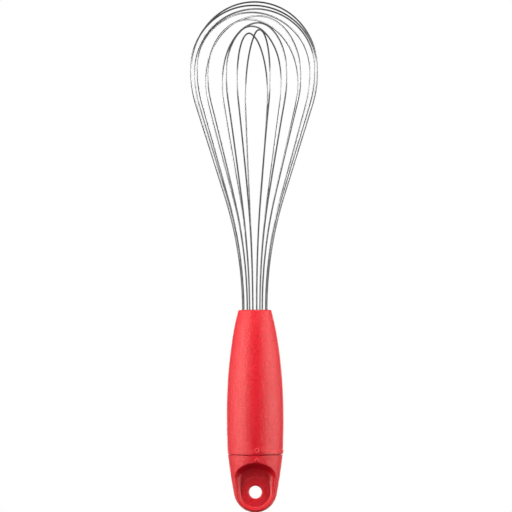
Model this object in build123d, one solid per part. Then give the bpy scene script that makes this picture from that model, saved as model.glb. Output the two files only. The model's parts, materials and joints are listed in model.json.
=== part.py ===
"""Fold-flat balloon whisk: ten spring-wire loops that fan open or fold when the end cap is twisted.

Frame: the origin is the centre of the hang hole in the twist cap, +Z runs along the whisk's axis
towards the wires, and the hole runs along Y. The whisk is drawn open, with the cap's pointer in front (-Y).

How it works: the cap turns half a turn. A helical groove in the cap's sleeve lifts the spindle, which a
square in the guide plate keeps from turning. Each wire loop is hooked into its own carrier on the spindle,
and the carrier's pin rides in a helical groove of the spindle, so every loop swings by its own angle.
"""
from build123d import *
from math import ceil, cos, hypot, radians, sin, sqrt
import os

# ---- Driving dimensions, in millimetres and degrees -------------------------------------------------
LENGTH = 310.0
HOLE_R = 3.8
CAP_END_R = 13.2
CAP_END_Z = 0.7
CAP_END_ANGLE = 10.8
SEAM_Z = 22.7
SEAM_GAP = 0.3
MOUTH_Z = 110.4
TWIST = 180.0
LIFT = 2.0

# ---- Wires: three nested layers, so that the loops can pass each other ------------------------------
WIRE_R = 0.5
LOOP_COUNT = 10
APEX_Z = LENGTH - (CAP_END_R - CAP_END_Z) - WIRE_R
APEX_STEP = 2.11
OUTER_LEG_R = 7.4
LAYER_GAP = 1.2
NECK_Z = 110.6
NECK_R = 225.0
FLANK = 17.7
HOOK_BEND_R = 1.0
HOOK_TIP_R = 2.75
LAYERS = [
    dict(loops=(1, 2, 3, 4), belly_r=39.0, shoulder_r=72.7),
    dict(loops=(5, 6, 7, 8), belly_r=37.2, shoulder_r=50.0),
    dict(loops=(9, 10), belly_r=35.6, shoulder_r=36.0),
]
OPEN_ANGLE = {1: -8.5, 2: 8.5, 3: -25.5, 4: 25.5, 5: -42.5, 6: 42.5, 7: -59.5, 8: 59.5, 9: -76.5, 10: 76.5}
FLAT_ANGLE = {1: -4.4, 2: 4.4, 3: -13.2, 4: 13.2, 5: -5.3, 6: 5.3, 7: -15.9, 8: 15.9, 9: -6.6, 10: 6.6}

# ---- Spindle and carriers ---------------------------------------------------------------------------
FIT = 0.05
SPINDLE_R = 2.2
SPINDLE_TOP_Z = 94.0
GROOVE_FLOOR_R = 1.4
PIN_R = 0.6
PIN_TIP_R = 1.55
GROOVE_PLAY = 0.1
GROOVE_STEP = 0.4
CARRIER_Z = 44.0
CARRIER_PITCH = 4.0
CARRIER_H = 3.4
CARRIER_R = 3.9
ARM_WIDTH = 2.2
ARM_H = 3.0
ARM_SHORT_OF_LEG = 0.8
WASHER_H = 0.5
WASHER_R = 3.6
STACK_TOP_Z = CARRIER_Z + (LOOP_COUNT - 1) * CARRIER_PITCH + CARRIER_PITCH / 2 + WASHER_H / 2
SPRING_TURNS = 7
SPRING_R = 3.1
SPRING_WIRE_R = 0.25
CLIP_Z = 91.4
CLIP_H = 1.0
CLIP_R = 4.0
CLIP_GROOVE_R = 1.7

# ---- Lifting barrel, sleeve and cap -----------------------------------------------------------------
BARREL_R = 4.0
BARREL_BOTTOM_Z = 24.5
BARREL_TOP_Z = 33.5
SQUARE = 5.0
SQUARE_TOP_Z = 39.4
PEG_R = 0.8
PEG_Z = 28.0
PEG_TIP_R = 5.3
SLEEVE_R = 6.4
SLEEVE_BOTTOM_Z = 21.5
BOSS_R = 9.0
BOSS_TOP_Z = 34.0
CAP_SEAM_R = 16.7
TAB_HALF = 3.7
HUB_R = 9.3
HUB_PROUD = 0.35
HUB_CHAMFER = 0.3
HOLE_ROUNDING = 1.0
SCOOP_FLOOR_R = 10.0
SCOOP_BOWL_ANGLE = 15.0
SCOOP_HALF = 10.6
SCOOP_ARCH_Z = 10.5
SCOOP_TOP_Z = 14.0
SCOOP_CORNER_R = 4.5
SCOOP_DRAFT = 18.0
SCOOP_ROUNDING = 3.0
RIM_ROUNDING = 0.7
SWEEP_Z = 8.6
SWEEP_R = 9.4
SWEEP_ANGLE = 82.0
RING_GROOVE_R = 8.3
RING_R = 10.4
RING_Z = 30.1
RING_H = 1.0
GRUB_R = 0.8
GRUB_Z = 32.5
GRUB_ANGLE = 45.0

# ---- Handle -----------------------------------------------------------------------------------------
GRIP_BOTTOM_Z = SEAM_Z + SEAM_GAP / 2
GRIP_BORE_R = 14.3
NOSE_BORE_R = 9.0
CAVITY_SHOULDER_Z = 58.0
CAVITY_WAIST = (12.6, 82.0)
CAVITY_THROAT_Z = 99.5
CORE_R = 8.95
LEG_BORE_R = 8.35
NOSE_RING_BOTTOM_Z = 101.0
BUSH_BOTTOM_Z = 23.2
BUSH_TOP_Z = 29.8
SKIRT_R = 12.6
BEAD_R = 0.4
PLATE_BOTTOM_Z = 34.6
PLATE_TOP_Z = 40.0
PLATE_BOSS_TOP_Z = CARRIER_Z - CARRIER_PITCH / 2 - WASHER_H / 2 - FIT
PLATE_BOSS_R = 5.5
FLANGE_TOP_Z = 43.0
FIN_WIDTH = 1.6
FIN_H = 15.0
DETENT_R = 7.75
DETENT_BALL_R = 1.2
DETENT_Z = 34.9
DETENT_HOLE_TOP_Z = 39.0
DETENT_POCKET = 0.4
DETENT_SPRING_R = 0.95
DETENT_WIRE_R = 0.15
DETENT_TURNS = 5
SCREW_PCD_R = 11.4
SCREW_ANGLES = (60, 180, 300)
SCREW_R = 1.0
SCREW_HEAD_R = 1.8
SCREW_HEAD_H = 1.8
SCREW_TOP_Z = 42.6
O_RING_R = 11.5
O_RING_SECTION_R = 0.9
MOUTH_ROUNDING = 0.6
SEAM_CHAMFER = 0.35
MARK_RIM_R = 16.8
MARK_PROUD = 0.4
MARK_CHAMFER = 0.2
MARK_X = 0.9
POINTER_PROUD = 0.15
MARK_Z = 25.6
BAND_BOTTOM_Z = 23.9
BAND_TOP_Z = 25.7


# ---- Small helpers ----------------------------------------------------------------------------------
def disc(radius, bottom, top):
    """A round solid on the axis between two heights."""
    return Pos(0, 0, bottom) * Cylinder(radius, top - bottom, align=(Align.CENTER, Align.CENTER, Align.MIN))


def ring(inner, outer, bottom, top):
    """A plain ring on the axis."""
    return disc(outer, bottom, top) - disc(inner, bottom - 1, top + 1)


def rod(radius, start, end, height, angle=0.0):
    """A round rod that points away from the axis, from one distance to another."""
    length = end - start
    turned = Rot(0, 90, 0) * Cylinder(radius, length, align=(Align.CENTER, Align.CENTER, Align.MIN))
    return Rot(0, 0, angle) * Pos(start, 0, height) * turned


def helix_groove(radius, start, end, angle, turn, height, rise):
    """The cutter of a helical groove: rods side by side, close enough for a smooth flank."""
    steps = ceil(hypot(radians(turn) * end, rise) / GROOVE_STEP)
    cutter = Part()
    for step in range(steps + 1):
        share = step / steps
        cutter += rod(radius, start, end, height + rise * share, angle + turn * share)
    return cutter


def coil(radius, wire_r, bottom, top, turns):
    """A coil spring whose ends stay between two heights."""
    height = top - bottom - 2 * wire_r
    path = Helix(pitch=height / turns, height=height, radius=radius)
    section = Plane(path @ 0, z_dir=path % 0) * Circle(wire_r)
    return Pos(0, 0, bottom + wire_r) * sweep(section, path=path)


def layer_of(loop):
    """The number of the loop's layer, from 0 for the outermost."""
    return next(number for number, layer in enumerate(LAYERS) if loop in layer["loops"])


def leg_r(loop):
    return OUTER_LEG_R - LAYER_GAP * layer_of(loop)


def swing(loop):
    """How far a loop turns while the cap makes its half turn."""
    return FLAT_ANGLE[loop] - OPEN_ANGLE[loop]


def carrier_z(loop):
    return CARRIER_Z + (loop - 1) * CARRIER_PITCH


def pin_angle(loop):
    return OPEN_ANGLE[loop] + 90.0


# ---- Wires ------------------------------------------------------------------------------------------
def half_centreline(loop):
    """One half of a loop's centreline, from its apex down one leg to the tip of its hook."""
    belly_r = LAYERS[layer_of(loop)]["belly_r"]
    shoulder_r = LAYERS[layer_of(loop)]["shoulder_r"]
    neck_r = NECK_R + LAYER_GAP * layer_of(loop)
    bends = shoulder_r + neck_r
    run = (belly_r - leg_r(loop) - bends * (1 - cos(radians(FLANK)))) / sin(radians(FLANK))
    belly_z = NECK_Z + bends * sin(radians(FLANK)) + run * cos(radians(FLANK))
    apex_z = APEX_Z - APEX_STEP * (loop - 1)
    side_r = (apex_z - belly_z - belly_r * (sqrt(2) - 1)) / (2 - sqrt(2))
    crown_r = belly_r * sqrt(2) - side_r * (sqrt(2) - 1)

    crown = JernArc((0, apex_z), (1, 0), crown_r, -45)
    side = JernArc(crown @ 1, crown % 1, side_r, -45)
    shoulder = JernArc(side @ 1, side % 1, shoulder_r, -FLANK)
    straight = Line(shoulder @ 1, (shoulder @ 1) + (shoulder % 1) * run)
    neck = JernArc(straight @ 1, straight % 1, neck_r, FLANK)
    leg = Line(neck @ 1, (leg_r(loop), carrier_z(loop) + HOOK_BEND_R))
    hook = JernArc(leg @ 1, (0, -1), HOOK_BEND_R, -90)
    tip = Line(hook @ 1, (HOOK_TIP_R, carrier_z(loop)))
    return Plane.XZ * Wire([crown, side, shoulder, straight, neck, leg, hook, tip])


def wire_loop(loop):
    path = half_centreline(loop)
    section = Plane(path @ 0, z_dir=path % 0) * Circle(WIRE_R)
    half = sweep(section, path=path)
    whole = half + mirror(half, about=Plane.YZ)
    return Rot(0, 0, OPEN_ANGLE[loop]) * whole


def follower_pin(loop):
    return rod(PIN_R, PIN_TIP_R, CARRIER_R, carrier_z(loop), pin_angle(loop))


def loop_carrier(loop, wire):
    """A ring on the spindle with two arms that take the hooks of one wire."""
    level = carrier_z(loop)
    arm_r = leg_r(loop) - ARM_SHORT_OF_LEG
    arms = Rot(0, 0, OPEN_ANGLE[loop]) * Pos(0, 0, level) * Box(2 * arm_r, ARM_WIDTH, ARM_H)
    body = disc(CARRIER_R, level - CARRIER_H / 2, level + CARRIER_H / 2) + arms
    body -= disc(SPINDLE_R + FIT, level - CARRIER_H, level + CARRIER_H)
    body -= rod(PIN_R, 0, CARRIER_R + 1, level, pin_angle(loop))
    return body - wire


# ---- Spindle ----------------------------------------------------------------------------------------
def cam_spindle():
    body = disc(SPINDLE_R, SQUARE_TOP_Z, SPINDLE_TOP_Z)
    body = chamfer(body.edges().group_by(Axis.Z)[-1], 0.5)
    square_h = SQUARE_TOP_Z - BARREL_TOP_Z
    body += Pos(0, 0, BARREL_TOP_Z + square_h / 2) * Box(SQUARE, SQUARE, square_h)
    body += disc(BARREL_R, BARREL_BOTTOM_Z, BARREL_TOP_Z)
    body -= rod(PEG_R, PIN_TIP_R, BARREL_R + 1, PEG_Z, -90)
    body -= ring(CLIP_GROOVE_R, SPINDLE_R + 1, CLIP_Z, CLIP_Z + CLIP_H)
    for loop in range(1, LOOP_COUNT + 1):
        body -= helix_groove(PIN_R + GROOVE_PLAY, GROOVE_FLOOR_R, SPINDLE_R + 1,
                             pin_angle(loop), swing(loop), carrier_z(loop), -LIFT)
    return body


def spindle_peg():
    return rod(PEG_R, PIN_TIP_R, PEG_TIP_R, PEG_Z, -90)


def spring_clip():
    """A C-shaped clip in the groove near the spindle's top."""
    mouth = Pos(CLIP_R / 2 + 0.5, 0, CLIP_Z) * Box(CLIP_R + 1, 1.6, 4)
    return ring(CLIP_GROOVE_R, CLIP_R, CLIP_Z, CLIP_Z + CLIP_H) - mouth


def stack_spring():
    return coil(SPRING_R, SPRING_WIRE_R, STACK_TOP_Z + FIT, CLIP_Z, SPRING_TURNS)


def thrust_washers():
    """Thin washers above, below and between the carriers."""
    washers = []
    for place in range(LOOP_COUNT + 1):
        middle = CARRIER_Z + (place - 0.5) * CARRIER_PITCH
        washers.append(ring(SPINDLE_R + FIT, WASHER_R, middle - WASHER_H / 2, middle + WASHER_H / 2))
    return Compound(children=washers)


# ---- Twist cap --------------------------------------------------------------------------------------
def cap_blank():
    """The cap before its scoops: a round end that widens in a slow curve up to the seam."""
    top = SEAM_Z - SEAM_GAP / 2
    end = CenterArc((0, CAP_END_Z), CAP_END_R, -90, 90 - CAP_END_ANGLE)
    flare = TangentArc(end @ 1, (CAP_SEAM_R, top), tangent=end % 1)
    lid = Line(flare @ 1, (0, top))
    axis = Line(lid @ 1, end @ 0)
    outline = make_face(Wire([end, flare, lid, axis]))
    return revolve(Plane.XZ * outline, axis=Axis.Z)


def scoop():
    """The cutter of the front scoop: an arched mouth whose floor sweeps up from the tab to the outside."""
    bowl = CenterArc((0, 0), SCOOP_FLOOR_R, 180 + SCOOP_BOWL_ANGLE, 180 - 2 * SCOOP_BOWL_ANGLE)
    right = Line(bowl @ 1, (SCOOP_HALF, SCOOP_ARCH_Z))
    arch = ThreePointArc(right @ 1, (0, SCOOP_TOP_Z), (-SCOOP_HALF, SCOOP_ARCH_Z))
    left = Line(arch @ 1, bowl @ 0)
    outline = make_face(Wire([bowl, right, arch, left]))
    outline = fillet(outline.vertices().filter_by(lambda corner: corner.Y > 0), SCOOP_CORNER_R)
    mouth = extrude(outline, amount=2 * CAP_SEAM_R, taper=-SCOOP_DRAFT)
    mouth = fillet(mouth.faces().sort_by(Axis.Z)[0].edges(), SCOOP_ROUNDING)
    mouth = Pos(0, -TAB_HALF, 0) * (Plane.XZ * mouth)

    floor = Line((-TAB_HALF, -2 * CAP_END_R), (-TAB_HALF, SWEEP_Z))
    sweep_up = JernArc(floor @ 1, (0, 1), SWEEP_R, SWEEP_ANGLE)
    out = Line(sweep_up @ 1, (sweep_up @ 1) + (sweep_up % 1) * CAP_SEAM_R)
    down = Line(out @ 1, (-3 * CAP_SEAM_R, -2 * CAP_END_R))
    bottom = Line(down @ 1, floor @ 0)
    side = extrude(Plane.YZ * make_face(Wire([floor, sweep_up, out, down, bottom])), CAP_SEAM_R, both=True)
    return mouth & side


def rims_of(cap, blank):
    """The edges along which the scoops break through the blank's outside."""
    outside = [face for face in blank.faces() if face.geom_type != GeomType.PLANE]
    rims = []
    for edge in cap.edges():
        if edge.geom_type in (GeomType.CIRCLE, GeomType.LINE):
            continue
        spots = [Vertex(*(edge @ share)) for share in (0.2, 0.5)]
        gaps = [min(face.distance_to(spot) for face in outside) for spot in spots]
        if max(gaps) < 0.001:
            rims.append(edge)
    return rims


def pointer():
    """The raised arrow head under the seam that points at the handle's marks."""
    stroke = 0.75
    tip = 21.8
    foot = 18.9
    half = 1.65
    notch = tip - stroke * (tip - foot) / half
    right = [(0, tip), (half, foot), (half - stroke, foot), (0, notch)]
    left = [(stroke - half, foot), (-half, foot)]
    outline = Plane.XZ * make_face(Polyline(*right, *left, close=True))
    head = extrude(outline, 2.0, dir=(0, 1, 0))
    head = chamfer(head.faces().sort_by(Axis.Y)[0].edges(), MARK_CHAMFER)
    return Pos(MARK_X, -CAP_SEAM_R - POINTER_PROUD, 0) * head


def twist_cap():
    blank = cap_blank()
    front = scoop()
    cap = blank - front
    cap -= mirror(front, about=Plane.XZ)
    cap = fillet(rims_of(cap, blank), RIM_ROUNDING)
    hub = Cylinder(HUB_R, 2 * (TAB_HALF + HUB_PROUD)) - Cylinder(HOLE_R, 4 * TAB_HALF)
    hub = chamfer(hub.edges().filter_by(GeomType.CIRCLE).sort_by(SortBy.RADIUS)[-2:], HUB_CHAMFER)
    hub = fillet(hub.edges().filter_by(GeomType.CIRCLE).sort_by(SortBy.RADIUS)[:2], HOLE_ROUNDING)
    cap -= Rot(90, 0, 0) * Cylinder(HUB_R - 1, 4 * TAB_HALF)
    cap += Rot(90, 0, 0) * hub
    cap += pointer()
    cap += disc(BOSS_R, SEAM_Z - 1, BOSS_TOP_Z)
    cap -= disc(SLEEVE_R, SLEEVE_BOTTOM_Z, BOSS_TOP_Z + 1)
    cap -= ring(RING_GROOVE_R, BOSS_R + 1, RING_Z, RING_Z + RING_H)
    cap -= Pos(0, 0, DETENT_Z) * Torus(DETENT_R, DETENT_BALL_R + GROOVE_PLAY)
    for side in (-1, 1):
        cap -= Pos(side * DETENT_R, 0, DETENT_Z - DETENT_POCKET) * Sphere(DETENT_BALL_R + GROOVE_PLAY)
    return cap - sleeve_screw()


def lift_sleeve():
    """The cap's nut: its inner groove climbs by the lift over the half turn and holds the peg."""
    sleeve = ring(BARREL_R + FIT, SLEEVE_R, SLEEVE_BOTTOM_Z, BOSS_TOP_Z)
    sleeve -= disc(BARREL_R + 1, BARREL_TOP_Z, BOSS_TOP_Z + 1)
    sleeve -= helix_groove(PEG_R + GROOVE_PLAY, BARREL_R - 1, PEG_TIP_R + 0.2, -90, -TWIST, PEG_Z, LIFT)
    sleeve -= rod(PEG_R + GROOVE_PLAY, BARREL_R, SLEEVE_R + 1, PEG_Z, -90)
    return sleeve - sleeve_screw()


def sleeve_screw():
    """The grub screw that ties the sleeve to the cap."""
    return rod(GRUB_R, BARREL_R + 1.3, BOSS_R - 0.1, GRUB_Z, GRUB_ANGLE)


def cap_retaining_ring():
    gap = Rot(0, 0, 120) * Pos(RING_R, 0, RING_Z) * Box(8, 5, 4)
    return ring(RING_GROOVE_R, RING_R, RING_Z, RING_Z + RING_H) - gap


# ---- Handle -----------------------------------------------------------------------------------------
def grip_outline():
    """The handle's outer line: full in the palm, and drawn in to the mouth."""
    palm = [(16.75, GRIP_BOTTOM_Z), (17.3, 42), (16.65, 67)]
    neck = [(14.75, 86), (12.4, 100.3), (9.95, MOUTH_Z)]
    return Spline(*palm, *neck)


def grip_marks():
    """Raised marks on the handle's rim: a ring for open, a bar for flat, and the band between them."""
    face_r = MARK_RIM_R + MARK_PROUD
    wedge = make_face(Polyline((0, 0), (6, -24), (24, -24), (24, 24), (6, 24), close=True))
    band = ring(MARK_RIM_R - 1, face_r, BAND_BOTTOM_Z, BAND_TOP_Z)
    band = chamfer(band.edges().group_by(Axis.Z)[-1].sort_by(SortBy.RADIUS)[-1], MARK_CHAMFER)
    band &= extrude(wedge, 2 * BAND_TOP_Z)
    open_mark = Plane.XZ * Pos(MARK_X, MARK_Z) * (Circle(1.5) - Circle(0.8))
    open_mark = extrude(open_mark, 2.0, dir=(0, 1, 0))
    open_mark = chamfer(open_mark.faces().sort_by(Axis.Y)[0].edges(), MARK_CHAMFER)
    flat_mark = Plane.XZ * Pos(-MARK_X, MARK_Z) * RectangleRounded(0.9, 3.0, 0.4)
    flat_mark = extrude(flat_mark, 2.0, dir=(0, -1, 0))
    flat_mark = chamfer(flat_mark.faces().sort_by(Axis.Y)[-1].edges(), MARK_CHAMFER)
    return band + Pos(0, -face_r, 0) * open_mark + Pos(0, face_r, 0) * flat_mark


def grip_shell(bush):
    outer = grip_outline()
    outer_edges = [outer, Line(outer @ 1, (0, MOUTH_Z)), Line((0, MOUTH_Z), (0, GRIP_BOTTOM_Z)),
                   Line((0, GRIP_BOTTOM_Z), outer @ 0)]
    shell = revolve(Plane.XZ * make_face(Wire(outer_edges)), axis=Axis.Z)
    shell = fillet(shell.edges().group_by(Axis.Z)[-1], MOUTH_ROUNDING)
    shell = chamfer(shell.edges().group_by(Axis.Z)[0], SEAM_CHAMFER)

    shoulder = (GRIP_BORE_R, CAVITY_SHOULDER_Z)
    throat = (NOSE_BORE_R, CAVITY_THROAT_Z)
    taper = Spline(shoulder, CAVITY_WAIST, throat, tangents=((0, 1), (-0.15, 1)))
    cavity_edges = [Line((0, GRIP_BOTTOM_Z - 1), (GRIP_BORE_R, GRIP_BOTTOM_Z - 1)),
                    Line((GRIP_BORE_R, GRIP_BOTTOM_Z - 1), shoulder), taper,
                    Line(throat, (NOSE_BORE_R, MOUTH_Z + 1)),
                    Line((NOSE_BORE_R, MOUTH_Z + 1), (0, MOUTH_Z + 1)),
                    Line((0, MOUTH_Z + 1), (0, GRIP_BOTTOM_Z - 1))]
    cavity = revolve(Plane.XZ * make_face(Wire(cavity_edges)), axis=Axis.Z)
    return shell + grip_marks() - cavity - bush


def nose_ring():
    """The collar in the mouth that keeps the legs together."""
    collar = ring(LEG_BORE_R, NOSE_BORE_R, NOSE_RING_BOTTOM_Z, MOUTH_Z - 0.6)
    return chamfer(collar.edges().group_by(Axis.Z)[-1], 0.3)


def handle_core():
    """The inner tube round the carriers, with a flange below and three fins."""
    core = disc(CORE_R, PLATE_TOP_Z, NOSE_RING_BOTTOM_Z) + disc(GRIP_BORE_R, PLATE_TOP_Z, FLANGE_TOP_Z)
    for angle in SCREW_ANGLES:
        fin = Box(GRIP_BORE_R - CORE_R, FIN_WIDTH, FIN_H, align=(Align.MIN, Align.CENTER, Align.MIN))
        core += Rot(0, 0, angle + 30) * Pos(CORE_R - 0.2, 0, FLANGE_TOP_Z - 0.1) * fin
    core -= disc(LEG_BORE_R, PLATE_TOP_Z - 1, NOSE_RING_BOTTOM_Z + 1)
    return core - plate_screws()


def guide_plate():
    """The plate that carries the stack: its square hole lets the spindle rise but not turn."""
    plate = disc(GRIP_BORE_R, PLATE_BOTTOM_Z, PLATE_TOP_Z)
    plate += disc(PLATE_BOSS_R, PLATE_TOP_Z, PLATE_BOSS_TOP_Z)
    hole = SQUARE + 2 * FIT
    plate -= Pos(0, 0, PLATE_TOP_Z) * Box(hole, hole, 20)
    plate -= disc(BARREL_R + 0.5, PLATE_BOTTOM_Z - 1, BARREL_TOP_Z + LIFT + 0.5)
    plate -= Pos(DETENT_R, 0, 0) * disc(DETENT_BALL_R + GROOVE_PLAY, PLATE_BOTTOM_Z - 1, DETENT_HOLE_TOP_Z)
    return plate - plate_screws()


def plate_screws():
    """Three screws that hold the plate to the core's flange."""
    screws = []
    for angle in SCREW_ANGLES:
        screw = disc(SCREW_R, PLATE_BOTTOM_Z, SCREW_TOP_Z)
        screw += disc(SCREW_HEAD_R, PLATE_BOTTOM_Z, PLATE_BOTTOM_Z + SCREW_HEAD_H)
        screws.append(Rot(0, 0, angle) * Pos(SCREW_PCD_R, 0, 0) * screw)
    return Compound(children=screws)


def end_bush():
    """The bearing of the cap's boss, snapped into the handle's open end."""
    bush = ring(BOSS_R + FIT, GRIP_BORE_R, BUSH_BOTTOM_Z, BUSH_TOP_Z)
    bush += ring(SKIRT_R, GRIP_BORE_R, BUSH_TOP_Z, PLATE_BOTTOM_Z)
    bush += Pos(0, 0, BUSH_TOP_Z - 3) * Torus(GRIP_BORE_R, BEAD_R)
    seat_r = O_RING_SECTION_R + 0.05
    bush -= ring(O_RING_R - seat_r, O_RING_R + seat_r, BUSH_BOTTOM_Z - 1, BUSH_BOTTOM_Z + 1.5)
    return bush


def cap_o_ring():
    return Pos(0, 0, GRIP_BOTTOM_Z + O_RING_SECTION_R) * Torus(O_RING_R, O_RING_SECTION_R)


def detent_ball():
    return Pos(DETENT_R, 0, DETENT_Z) * Sphere(DETENT_BALL_R)


def detent_spring():
    bottom = DETENT_Z + DETENT_BALL_R
    spring = coil(DETENT_SPRING_R, DETENT_WIRE_R, bottom, DETENT_HOLE_TOP_Z, DETENT_TURNS)
    return Pos(DETENT_R, 0, 0) * spring


# ---- All parts --------------------------------------------------------------------------------------
def all_parts():
    bush = end_bush()
    parts = {
        "grip_shell": grip_shell(bush),
        "handle_core": handle_core(),
        "nose_ring": nose_ring(),
        "guide_plate": guide_plate(),
        "plate_screws": plate_screws(),
        "end_bush": bush,
        "cap_o_ring": cap_o_ring(),
        "detent_ball": detent_ball(),
        "detent_spring": detent_spring(),
        "thrust_washers": thrust_washers(),
        "twist_cap": twist_cap(),
        "lift_sleeve": lift_sleeve(),
        "sleeve_screw": sleeve_screw(),
        "cap_retaining_ring": cap_retaining_ring(),
        "cam_spindle": cam_spindle(),
        "spindle_peg": spindle_peg(),
        "stack_spring": stack_spring(),
        "spring_clip": spring_clip(),
    }
    for loop in range(1, LOOP_COUNT + 1):
        wire = wire_loop(loop)
        parts[f"wire_loop_{loop:02d}"] = wire
        parts[f"loop_carrier_{loop:02d}"] = loop_carrier(loop, wire)
        parts[f"follower_pin_{loop:02d}"] = follower_pin(loop)
    return parts


os.makedirs("parts", exist_ok=True)
for name, part in all_parts().items():
    export_step(part, f"parts/{name}.step")
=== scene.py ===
"""Looks of the fold-flat balloon whisk: smooth wires, satin red handle and a white photo studio."""

import json
import math

import bmesh
import bpy
from mathutils import Matrix, Vector

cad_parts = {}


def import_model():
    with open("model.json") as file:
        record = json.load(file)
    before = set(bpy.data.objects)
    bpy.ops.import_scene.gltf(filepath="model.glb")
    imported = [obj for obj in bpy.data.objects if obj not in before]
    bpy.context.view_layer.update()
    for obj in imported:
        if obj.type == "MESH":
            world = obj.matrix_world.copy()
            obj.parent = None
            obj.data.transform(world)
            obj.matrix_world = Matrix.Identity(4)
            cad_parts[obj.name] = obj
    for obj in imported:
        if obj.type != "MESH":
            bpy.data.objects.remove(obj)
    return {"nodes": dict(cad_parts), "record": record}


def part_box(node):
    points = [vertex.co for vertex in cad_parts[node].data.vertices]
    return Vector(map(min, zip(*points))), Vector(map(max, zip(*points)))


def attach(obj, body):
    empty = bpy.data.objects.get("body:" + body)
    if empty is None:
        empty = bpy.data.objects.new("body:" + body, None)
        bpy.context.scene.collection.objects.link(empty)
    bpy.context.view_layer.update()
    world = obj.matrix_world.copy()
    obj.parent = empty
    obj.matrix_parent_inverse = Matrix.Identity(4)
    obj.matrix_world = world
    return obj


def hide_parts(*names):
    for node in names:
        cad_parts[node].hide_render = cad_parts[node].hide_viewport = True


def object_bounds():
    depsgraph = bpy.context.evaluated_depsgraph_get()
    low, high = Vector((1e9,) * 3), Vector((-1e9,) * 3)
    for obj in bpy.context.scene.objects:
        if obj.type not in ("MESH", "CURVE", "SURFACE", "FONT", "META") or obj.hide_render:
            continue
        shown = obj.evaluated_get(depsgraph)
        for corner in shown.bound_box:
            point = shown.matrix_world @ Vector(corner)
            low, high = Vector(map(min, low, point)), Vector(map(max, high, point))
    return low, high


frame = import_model()
cad_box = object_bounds()

MM = 0.001

# ---- The wires, in millimetres and degrees, as in CAD; but the innermost belly_r is 35.6 there ------
WIRE_R = 0.5
APEX_STEP = 2.11
OUTER_LEG_R = 7.4
LAYER_GAP = 1.2
NECK_Z = 110.6
NECK_R = 225.0
FLANK = 17.7
LOWEST_HOOK_Z = 44.0
HOOK_PITCH = 4.0
HOOK_BEND_R = 1.0
HOOK_TIP_R = 2.75
LAYERS = [
    dict(loops=(1, 2, 3, 4), belly_r=39.0, shoulder_r=72.7),
    dict(loops=(5, 6, 7, 8), belly_r=37.2, shoulder_r=50.0),
    dict(loops=(9, 10), belly_r=34.95, shoulder_r=36.0),
]
OPEN_STEP = 17.0
OPEN_ANGLE = {loop: (-1) ** loop * OPEN_STEP * ((loop - 1) // 2 + 0.5) for loop in range(1, 11)}

# ---- How bent wire strays from its plane: by loop, the lean of its top, and the twist of its two legs ----
LEAN = {1: 0.8, 2: 1.0, 3: 1.2, 4: 1.6, 5: 2.7, 6: 3.4, 7: 2.1, 8: 0.9, 9: 3.2, 10: 2.7}
LEAN_POWER = 3.5
TWIST = {
    1: (-2.4, -1.0),
    2: (2.4, 0.5),
    3: (4.3, 5.0),
    4: (4.1, 2.5),
    5: (6.8, 0.0),
    6: (1.6, -1.0),
    7: (2.4, 0.0),
    8: (4.7, 3.3),
    9: (-2.6, 0.0),
    10: (-1.0, -2.2),
}
TWIST_SHARE = 0.7

# ---- The wires' meshes ------------------------------------------------------------------------------
WIRE_SIDES = 16
WIRE_STEP = 1.2
UV_LENGTH = 10.0

# ---- Finishes: the part of a noise that a colour or a gloss spreads over, and the lighter red of the painted highlight ---
CLOUD_RANGE = (0.35, 0.65)
GRAIN_RANGE = (0.3, 0.7)
# Painted highlight: a lighter red put into the colour of the raised marks and the hub's rim, where light
# catches them.
PAINTED_HIGHLIGHT_RED = (0.84, 0.055, 0.070, 1)

# ---- Where the painted highlight goes: the raised marks near the seam and the hub, in millimetres ---
CAP_SEAM_R = 16.74
POINTER_TOP_Z = 22.3
MARK_R = 17.03
RING_MARK_X = 4.0
RING_MARK_TOP_Z = 27.3
BAND_EDGE_Z = 25.45
HUB_R = 9.33
HUB_RIM = 0.38
HUB_REACH = 10.3

# ---- The studio, in metres and degrees --------------------------------------------------------------
WARM = (1.0, 0.95, 0.83)
NEUTRAL = (1.0, 1.0, 1.0)
LAMP_DISTANCE = 1.2
LAMP_TALL = 1.3
ROOM_STRENGTH = 0.42
FLOOR_R = 5.0
FLOOR_DROP = 0.018
FLOOR_FADE = (0.10, 0.42)
CAMERA_DISTANCE = 4.0
CAMERA_MARGIN = 1.001
CAMERA_OFFSET = (0.00085, 0.0005)
CAMERA_TILT = 0.2


# ---- Node helpers -----------------------------------------------------------------------------------
def new_material(name):
    material = bpy.data.materials.new(name)
    material.use_nodes = True
    nodes = material.node_tree.nodes
    return material, nodes, material.node_tree.links, nodes["Principled BSDF"]


def noise(nodes, links, vector, scale, detail=3.0, rough=0.5):
    node = nodes.new("ShaderNodeTexNoise")
    node.inputs["Scale"].default_value = scale
    node.inputs["Detail"].default_value = detail
    node.inputs["Roughness"].default_value = rough
    links.new(vector, node.inputs["Vector"])
    return node.outputs["Fac"]


def ramp(nodes, links, value, low, high):
    """Turns a noise into a colour between two colours."""
    node = nodes.new("ShaderNodeValToRGB")
    node.color_ramp.elements[0].position = CLOUD_RANGE[0]
    node.color_ramp.elements[0].color = (*low, 1)
    node.color_ramp.elements[1].position = CLOUD_RANGE[1]
    node.color_ramp.elements[1].color = (*high, 1)
    links.new(value, node.inputs["Fac"])
    return node.outputs["Color"]


def spread(nodes, links, value, low, high):
    """Turns a noise into a number between two numbers."""
    node = nodes.new("ShaderNodeMapRange")
    node.inputs["From Min"].default_value = GRAIN_RANGE[0]
    node.inputs["From Max"].default_value = GRAIN_RANGE[1]
    node.inputs["To Min"].default_value = low
    node.inputs["To Max"].default_value = high
    links.new(value, node.inputs["Value"])
    return node.outputs["Result"]


def bump(nodes, links, height, strength, distance):
    node = nodes.new("ShaderNodeBump")
    node.inputs["Strength"].default_value = strength
    node.inputs["Distance"].default_value = distance
    links.new(height, node.inputs["Height"])
    return node.outputs["Normal"]


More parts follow.
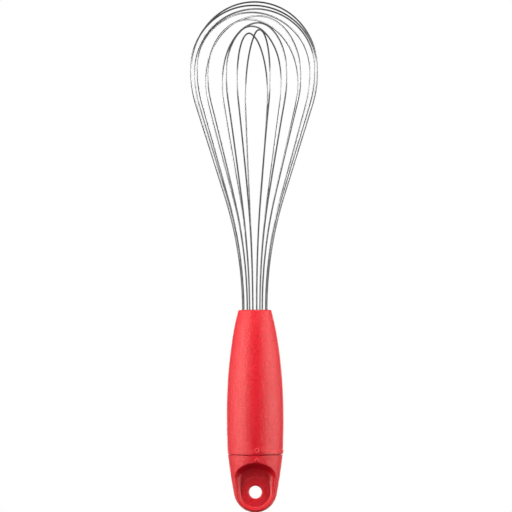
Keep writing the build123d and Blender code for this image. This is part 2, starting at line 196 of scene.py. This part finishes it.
def sum_up(nodes, links, operation, *values):
    """Runs a Math node over two values, each a socket or a number, and over any more in turn."""
    total = values[0]
    for value in values[1:]:
        node = nodes.new("ShaderNodeMath")
        node.operation = operation
        for socket, given in zip(node.inputs, (total, value)):
            if isinstance(given, float):
                socket.default_value = given
            else:
                links.new(given, socket)
        total = node.outputs["Value"]
    return total


def finish_material(name, colours, rough, metallic=0.0, grain=800.0, grain_depth=0.01, cloud=40.0):
    """A material with slow colour clouds, uneven gloss and a fine grain, all in object coordinates."""
    material, nodes, links, shader = new_material(name)
    place = nodes.new("ShaderNodeTexCoord").outputs["Object"]
    clouds = noise(nodes, links, place, cloud)
    fine = noise(nodes, links, place, grain, 4.0, 0.6)
    links.new(ramp(nodes, links, clouds, *colours), shader.inputs["Base Color"])
    links.new(spread(nodes, links, fine, *rough), shader.inputs["Roughness"])
    links.new(bump(nodes, links, fine, 0.5, grain_depth * MM), shader.inputs["Normal"])
    shader.inputs["Metallic"].default_value = metallic
    return material


# ---- Materials --------------------------------------------------------------------------------------
def painted_highlight_mask(nodes, links, place):
    """Where the painted highlight goes: 1 on the pointer, the ring mark, the band's upper edge and the rim
    of the hub, and 0 elsewhere.
    """
    def every(*tests):
        return sum_up(nodes, links, "MULTIPLY", *tests)

    def over(value, limit):
        return sum_up(nodes, links, "GREATER_THAN", value, limit * MM)

    def under(value, limit):
        return sum_up(nodes, links, "LESS_THAN", value, limit * MM)

    def distance(first, second):
        squares = [sum_up(nodes, links, "MULTIPLY", value, value) for value in (first, second)]
        return sum_up(nodes, links, "POWER", sum_up(nodes, links, "ADD", *squares), 0.5)

    split = nodes.new("ShaderNodeSeparateXYZ")
    links.new(place, split.inputs["Vector"])
    x, y, z = (split.outputs[axis] for axis in "XYZ")
    from_axis = distance(x, y)
    from_hole = distance(x, z)
    pointer = every(over(from_axis, CAP_SEAM_R), under(z, POINTER_TOP_Z))
    ring_mark = every(over(from_axis, MARK_R), under(x, RING_MARK_X), under(z, RING_MARK_TOP_Z))
    band_edge = every(over(from_axis, MARK_R), over(z, BAND_EDGE_Z), under(z, RING_MARK_TOP_Z))
    hub_rim = every(over(from_hole, HUB_R - HUB_RIM), under(from_hole, HUB_R), under(from_axis, HUB_REACH))
    return sum_up(nodes, links, "MAXIMUM", pointer, ring_mark, band_edge, hub_rim)


def red_plastic():
    """Satin moulded red with a fine grain and slow clouds of tone, and a painted highlight: a lighter red
    on the raised marks and the rim of the hub.
    """
    material = finish_material("red_plastic", ((0.65, 0.0005, 0.012), (0.74, 0.0070, 0.026)), (0.24, 0.42),
                               grain=1050.0, grain_depth=0.9, cloud=650.0)
    nodes = material.node_tree.nodes
    links = material.node_tree.links
    shader = nodes["Principled BSDF"]
    place = nodes["Texture Coordinate"].outputs["Object"]
    plain = shader.inputs["Base Color"].links[0].from_socket
    # Painted highlight: the raised marks and the rim of the hub get the lighter red in their base colour.
    mix = nodes.new("ShaderNodeMix")
    mix.data_type = "RGBA"
    links.new(painted_highlight_mask(nodes, links, place), mix.inputs["Factor"])
    links.new(plain, mix.inputs["A"])
    mix.inputs["B"].default_value = PAINTED_HIGHLIGHT_RED
    links.new(mix.outputs["Result"], shader.inputs["Base Color"])
    return material


def wire_steel():
    """Polished drawn wire: fine lines run along it."""
    material, nodes, links, shader = new_material("wire_steel")
    coords = nodes.new("ShaderNodeTexCoord")
    stretch = nodes.new("ShaderNodeMapping")
    stretch.inputs["Scale"].default_value = (12.0, 0.6, 1.0)
    links.new(coords.outputs["UV"], stretch.inputs["Vector"])
    lines = noise(nodes, links, stretch.outputs["Vector"], 3.0, 5.0, 0.7)
    clouds = noise(nodes, links, coords.outputs["Object"], 120.0)
    tint = ramp(nodes, links, clouds, (0.50, 0.50, 0.51), (0.62, 0.62, 0.63))
    links.new(tint, shader.inputs["Base Color"])
    links.new(spread(nodes, links, lines, 0.16, 0.30), shader.inputs["Roughness"])
    links.new(bump(nodes, links, lines, 0.25, 0.02 * MM), shader.inputs["Normal"])
    shader.inputs["Metallic"].default_value = 1.0
    return material


def inner_materials():
    """The finishes of the pieces inside the handle."""
    return {
        "nose_steel": finish_material("nose_steel", ((0.42, 0.42, 0.43), (0.52, 0.52, 0.53)), (0.28, 0.42),
                                      metallic=1.0),
        "pin_steel": finish_material("pin_steel", ((0.46, 0.46, 0.47), (0.58, 0.58, 0.59)), (0.22, 0.36),
                                     metallic=1.0),
        "white_nylon": finish_material("white_nylon", ((0.76, 0.75, 0.70), (0.83, 0.82, 0.78)),
                                       (0.42, 0.56)),
        "seal_rubber": finish_material("seal_rubber", ((0.020, 0.020, 0.021), (0.032, 0.032, 0.033)),
                                       (0.55, 0.75)),
    }


# ---- Wires ------------------------------------------------------------------------------------------
def ease(share):
    """Goes smoothly from 0 to 1 and stays there."""
    share = min(max(share, 0.0), 1.0)
    return share * share * (3 - 2 * share)


def turn(points, centre, start, sweep, radius):
    """Adds an arc to the points; angles are in degrees, and a step is about as long as WIRE_STEP."""
    steps = max(6, math.ceil(abs(math.radians(sweep)) * radius / WIRE_STEP))
    for step in range(1, steps + 1):
        angle = math.radians(start + sweep * step / steps)
        points.append((centre[0] + radius * math.cos(angle), centre[1] + radius * math.sin(angle)))


def straight(points, end):
    """Adds a straight run to the points."""
    start = points[-1]
    steps = max(1, math.ceil(math.dist(start, end) / (3 * WIRE_STEP)))
    for step in range(1, steps + 1):
        share = step / steps
        points.append((start[0] + (end[0] - start[0]) * share, start[1] + (end[1] - start[1]) * share))


def half_outline(loop):
    """One half of a loop's centreline, from the apex down to the tip of the hook, as (radius, height)."""
    number, layer = next((n, layer) for n, layer in enumerate(LAYERS) if loop in layer["loops"])
    belly_r = layer["belly_r"]
    shoulder_r = layer["shoulder_r"]
    neck_r = NECK_R + LAYER_GAP * number
    leg_r = OUTER_LEG_R - LAYER_GAP * number
    sine = math.sin(math.radians(FLANK))
    cosine = math.cos(math.radians(FLANK))
    run = (belly_r - leg_r - (shoulder_r + neck_r) * (1 - cosine)) / sine
    belly_z = NECK_Z + (shoulder_r + neck_r) * sine + run * cosine
    apex_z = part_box("wire_loop_01")[1][2] / MM - WIRE_R - APEX_STEP * (loop - 1)
    side_r = (apex_z - belly_z - belly_r * (math.sqrt(2) - 1)) / (2 - math.sqrt(2))
    crown_r = belly_r * math.sqrt(2) - side_r * (math.sqrt(2) - 1)
    hook_z = LOWEST_HOOK_Z + HOOK_PITCH * (loop - 1)

    points = [(0.0, apex_z)]
    turn(points, (0.0, apex_z - crown_r), 90, -45, crown_r)
    turn(points, (belly_r - side_r, belly_z), 45, -45, side_r)
    turn(points, (belly_r - shoulder_r, belly_z), 0, -FLANK, shoulder_r)
    straight(points, (points[-1][0] - run * sine, points[-1][1] - run * cosine))
    turn(points, (leg_r + neck_r, NECK_Z), 180 - FLANK, FLANK, neck_r)
    straight(points, (leg_r, hook_z + HOOK_BEND_R))
    turn(points, (leg_r - HOOK_BEND_R, hook_z + HOOK_BEND_R), 0, -90, HOOK_BEND_R)
    straight(points, (HOOK_TIP_R, hook_z))
    return points


def centreline(loop):
    """The whole centreline in metres, with the small lean and twist that bent wire has out of its plane."""
    half = half_outline(loop)
    flat = [(-r, z) for r, z in reversed(half)] + half[1:]
    apex_z = half[0][1]
    belly_r = max(r for r, z in half)
    line = []
    for r, z in flat:
        share = max(0.0, (z - NECK_Z) / (apex_z - NECK_Z))
        lean = LEAN[loop] * share ** LEAN_POWER
        reach = math.copysign(math.sqrt(r * r - ease(abs(r) / belly_r) * lean * lean), r)
        twist = TWIST[loop][int(r > 0)] * ease(share / TWIST_SHARE) * ease(abs(r) / (0.5 * belly_r))
        turned = Matrix.Rotation(math.radians(OPEN_ANGLE[loop] + twist), 4, "Z")
        line.append(turned @ Vector((reach, lean, z)) * MM)
    return line


def tube(name, line, radius, sides):
    """A round closed tube along a line, with a UV map: round it in u, and along it in v."""
    mesh = bmesh.new()
    uv_layer = mesh.loops.layers.uv.new("UVMap")
    across = None
    rings = []
    travelled = [0.0]
    for index, point in enumerate(line):
        before = line[max(index - 1, 0)]
        after = line[min(index + 1, len(line) - 1)]
        along = (after - before).normalized()
        if across is None:
            across = along.orthogonal().normalized()
        across = (across - along * across.dot(along)).normalized()
        other = along.cross(across)
        ring = []
        for side in range(sides):
            angle = 2 * math.pi * side / sides
            outward = math.cos(angle) * across + math.sin(angle) * other
            ring.append(mesh.verts.new(point + radius * outward))
        rings.append(ring)
        if index:
            travelled.append(travelled[-1] + (point - before).length)
    for index in range(len(rings) - 1):
        for side in range(sides):
            nxt = (side + 1) % sides
            corners = (rings[index][side], rings[index][nxt], rings[index + 1][nxt], rings[index + 1][side])
            face = mesh.faces.new(corners)
            face.smooth = True
            spots = ((side, index), (side + 1, index), (side + 1, index + 1), (side, index + 1))
            for corner, (u, v) in zip(face.loops, spots):
                corner[uv_layer].uv = (u / sides, travelled[v] / (UV_LENGTH * MM))
    mesh.faces.new(list(reversed(rings[0])))
    mesh.faces.new(rings[-1])
    bmesh.ops.recalc_face_normals(mesh, faces=mesh.faces[:])
    data = bpy.data.meshes.new(name)
    mesh.to_mesh(data)
    mesh.free()
    piece = bpy.data.objects.new(name, data)
    bpy.context.collection.objects.link(piece)
    return piece


def wires(material):
    pieces = []
    for loop in OPEN_ANGLE:
        piece = tube(f"wire_{loop:02d}", centreline(loop), WIRE_R * MM, WIRE_SIDES)
        piece.data.materials.append(material)
        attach(piece, f"loop_{loop:02d}")
        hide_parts(f"wire_loop_{loop:02d}")
        pieces.append(piece)
    return pieces


# ---- CAD nodes --------------------------------------------------------------------------------------
def dress_nodes(materials):
    """Gives every CAD node the finish of its material slot."""
    for part in frame["record"]["subparts"]:
        node = frame["nodes"][part["node"]]
        node.data.materials.clear()
        node.data.materials.append(materials[part["material_slot"]])


# ---- Studio -----------------------------------------------------------------------------------------
def world():
    """White to the camera; a dim room with brighter sides to everything else."""
    scene_world = bpy.data.worlds.new("studio")
    bpy.context.scene.world = scene_world
    scene_world.use_nodes = True
    nodes = scene_world.node_tree.nodes
    links = scene_world.node_tree.links
    room = nodes["Background"]
    direction = nodes.new("ShaderNodeTexCoord").outputs["Generated"]
    split = nodes.new("ShaderNodeSeparateXYZ")
    links.new(direction, split.inputs["Vector"])
    side = nodes.new("ShaderNodeMath")
    side.operation = "ABSOLUTE"
    links.new(split.outputs["X"], side.inputs[0])
    glow = nodes.new("ShaderNodeValToRGB")
    glow.color_ramp.elements[0].position = 0.15
    glow.color_ramp.elements[0].color = (0.07, 0.07, 0.07, 1)
    glow.color_ramp.elements[1].position = 1.0
    glow.color_ramp.elements[1].color = (1.0, 1.0, 1.0, 1)
    links.new(side.outputs["Value"], glow.inputs["Fac"])
    links.new(glow.outputs["Color"], room.inputs["Color"])
    room.inputs["Strength"].default_value = ROOM_STRENGTH
    white = nodes.new("ShaderNodeBackground")
    white.inputs["Color"].default_value = (1, 1, 1, 1)
    seen = nodes.new("ShaderNodeLightPath")
    mix = nodes.new("ShaderNodeMixShader")
    links.new(seen.outputs["Is Camera Ray"], mix.inputs["Fac"])
    links.new(room.outputs["Background"], mix.inputs[1])
    links.new(white.outputs["Background"], mix.inputs[2])
    links.new(mix.outputs["Shader"], nodes["World Output"].inputs["Surface"])


def softbox(name, colour, pieces, azimuth, height, distance, width, tall, power):
    """A panel that lights some pieces only. Azimuth 0 is in front of the whisk, and 90 to its right."""
    data = bpy.data.lights.new(name, "AREA")
    data.shape = "RECTANGLE"
    data.size = width
    data.size_y = tall
    data.energy = power
    data.color = colour
    lamp = bpy.data.objects.new(name, data)
    angle = math.radians(azimuth)
    lamp.location = (math.sin(angle) * distance, -math.cos(angle) * distance, height)
    aim = Vector((0, 0, min(height, middle.z))) - lamp.location
    lamp.rotation_euler = aim.to_track_quat("-Z", "Y").to_euler()
    bpy.context.collection.objects.link(lamp)
    lamp.visible_camera = False
    group = bpy.data.collections.new(f"lit_by_{name}")
    for piece in pieces:
        group.objects.link(piece)
    lamp.light_linking.receiver_collection = group


def lamps(nodes, loops, ground):
    """Warm panels round the handle, neutral ones high at the wires' sides, and one over the floor."""
    level = middle.z
    warm = [
        ("front_left", -62, level, LAMP_DISTANCE, 0.70, LAMP_TALL, 19.5),
        ("front_right", 70, level, LAMP_DISTANCE, 0.70, LAMP_TALL, 16.5),
        ("front_fill", 0, level, 1.6, 1.0, LAMP_TALL, 1.0),
        ("top_front", -5, level + 1.2, 0.5, 0.9, 0.6, 16.0),
        ("side_left", -108, level, LAMP_DISTANCE, 0.90, LAMP_TALL, 3.0),
        ("side_right", 108, level, LAMP_DISTANCE, 0.90, LAMP_TALL, 3.0),
        ("back", 180, level, 1.5, 1.0, LAMP_TALL, 18.0),
    ]
    neutral = [
        ("wire_left", -76, 0.42, 1.1, 0.8, 0.56, 5.6),
        ("wire_right", 80, 0.42, 1.1, 0.8, 0.56, 5.6),
    ]
    for name, *place_and_size in warm:
        softbox(name, WARM, nodes, *place_and_size)
    for name, *place_and_size in neutral:
        softbox(name, NEUTRAL, loops, *place_and_size)
    softbox("floor_top", NEUTRAL, [ground], 0, 2.2, 0.1, 2.0, 2.0, 60.0)


def floor():
    """A round white floor a little under the whisk, which fades to the white of the studio.

    It is left out of reflections and bounce light, so that it puts no tint into the steel.
    """
    mesh = bmesh.new()
    bmesh.ops.create_circle(mesh, cap_ends=True, segments=96, radius=FLOOR_R)
    data = bpy.data.meshes.new("floor")
    mesh.to_mesh(data)
    mesh.free()
    piece = bpy.data.objects.new("floor", data)
    piece.location.z = cad_box[0].z - FLOOR_DROP
    bpy.context.collection.objects.link(piece)
    material, nodes, links, shader = new_material("pale_floor")
    place = nodes.new("ShaderNodeTexCoord").outputs["Object"]
    shader.inputs["Base Color"].default_value = (0.86, 0.86, 0.86, 1)
    shader.inputs["Roughness"].default_value = 0.7
    away = nodes.new("ShaderNodeVectorMath")
    away.operation = "LENGTH"
    links.new(place, away.inputs[0])
    fade = nodes.new("ShaderNodeMapRange")
    fade.interpolation_type = "SMOOTHSTEP"
    fade.inputs["From Min"].default_value = FLOOR_FADE[0]
    fade.inputs["From Max"].default_value = FLOOR_FADE[1]
    links.new(away.outputs["Value"], fade.inputs["Value"])
    glow = nodes.new("ShaderNodeEmission")
    mix = nodes.new("ShaderNodeMixShader")
    links.new(fade.outputs["Result"], mix.inputs["Fac"])
    links.new(shader.outputs["BSDF"], mix.inputs[1])
    links.new(glow.outputs["Emission"], mix.inputs[2])
    links.new(mix.outputs["Shader"], nodes["Material Output"].inputs["Surface"])
    data.materials.append(material)
    piece.visible_diffuse = False
    piece.visible_glossy = False
    return piece


def camera():
    """A long lens square to the whisk, which fills the picture's height."""
    data = bpy.data.cameras.new("camera")
    height = cad_box[1].z - cad_box[0].z
    data.sensor_width = 36.0
    data.lens = data.sensor_width * CAMERA_DISTANCE / (height * CAMERA_MARGIN)
    view = bpy.data.objects.new("camera", data)
    view.location = (CAMERA_OFFSET[0], -CAMERA_DISTANCE, middle.z + CAMERA_OFFSET[1])
    view.rotation_euler = (math.radians(90), math.radians(CAMERA_TILT), 0)
    bpy.context.collection.objects.link(view)
    bpy.context.scene.camera = view


middle = (cad_box[0] + cad_box[1]) / 2
red = red_plastic()
steel = wire_steel()
dress_nodes({"red_handle": red, "wire_steel": steel, **inner_materials()})
loops = wires(steel)
world()
lamps(list(frame["nodes"].values()), loops, floor())
camera()
bpy.context.scene.view_settings.view_transform = "Standard"
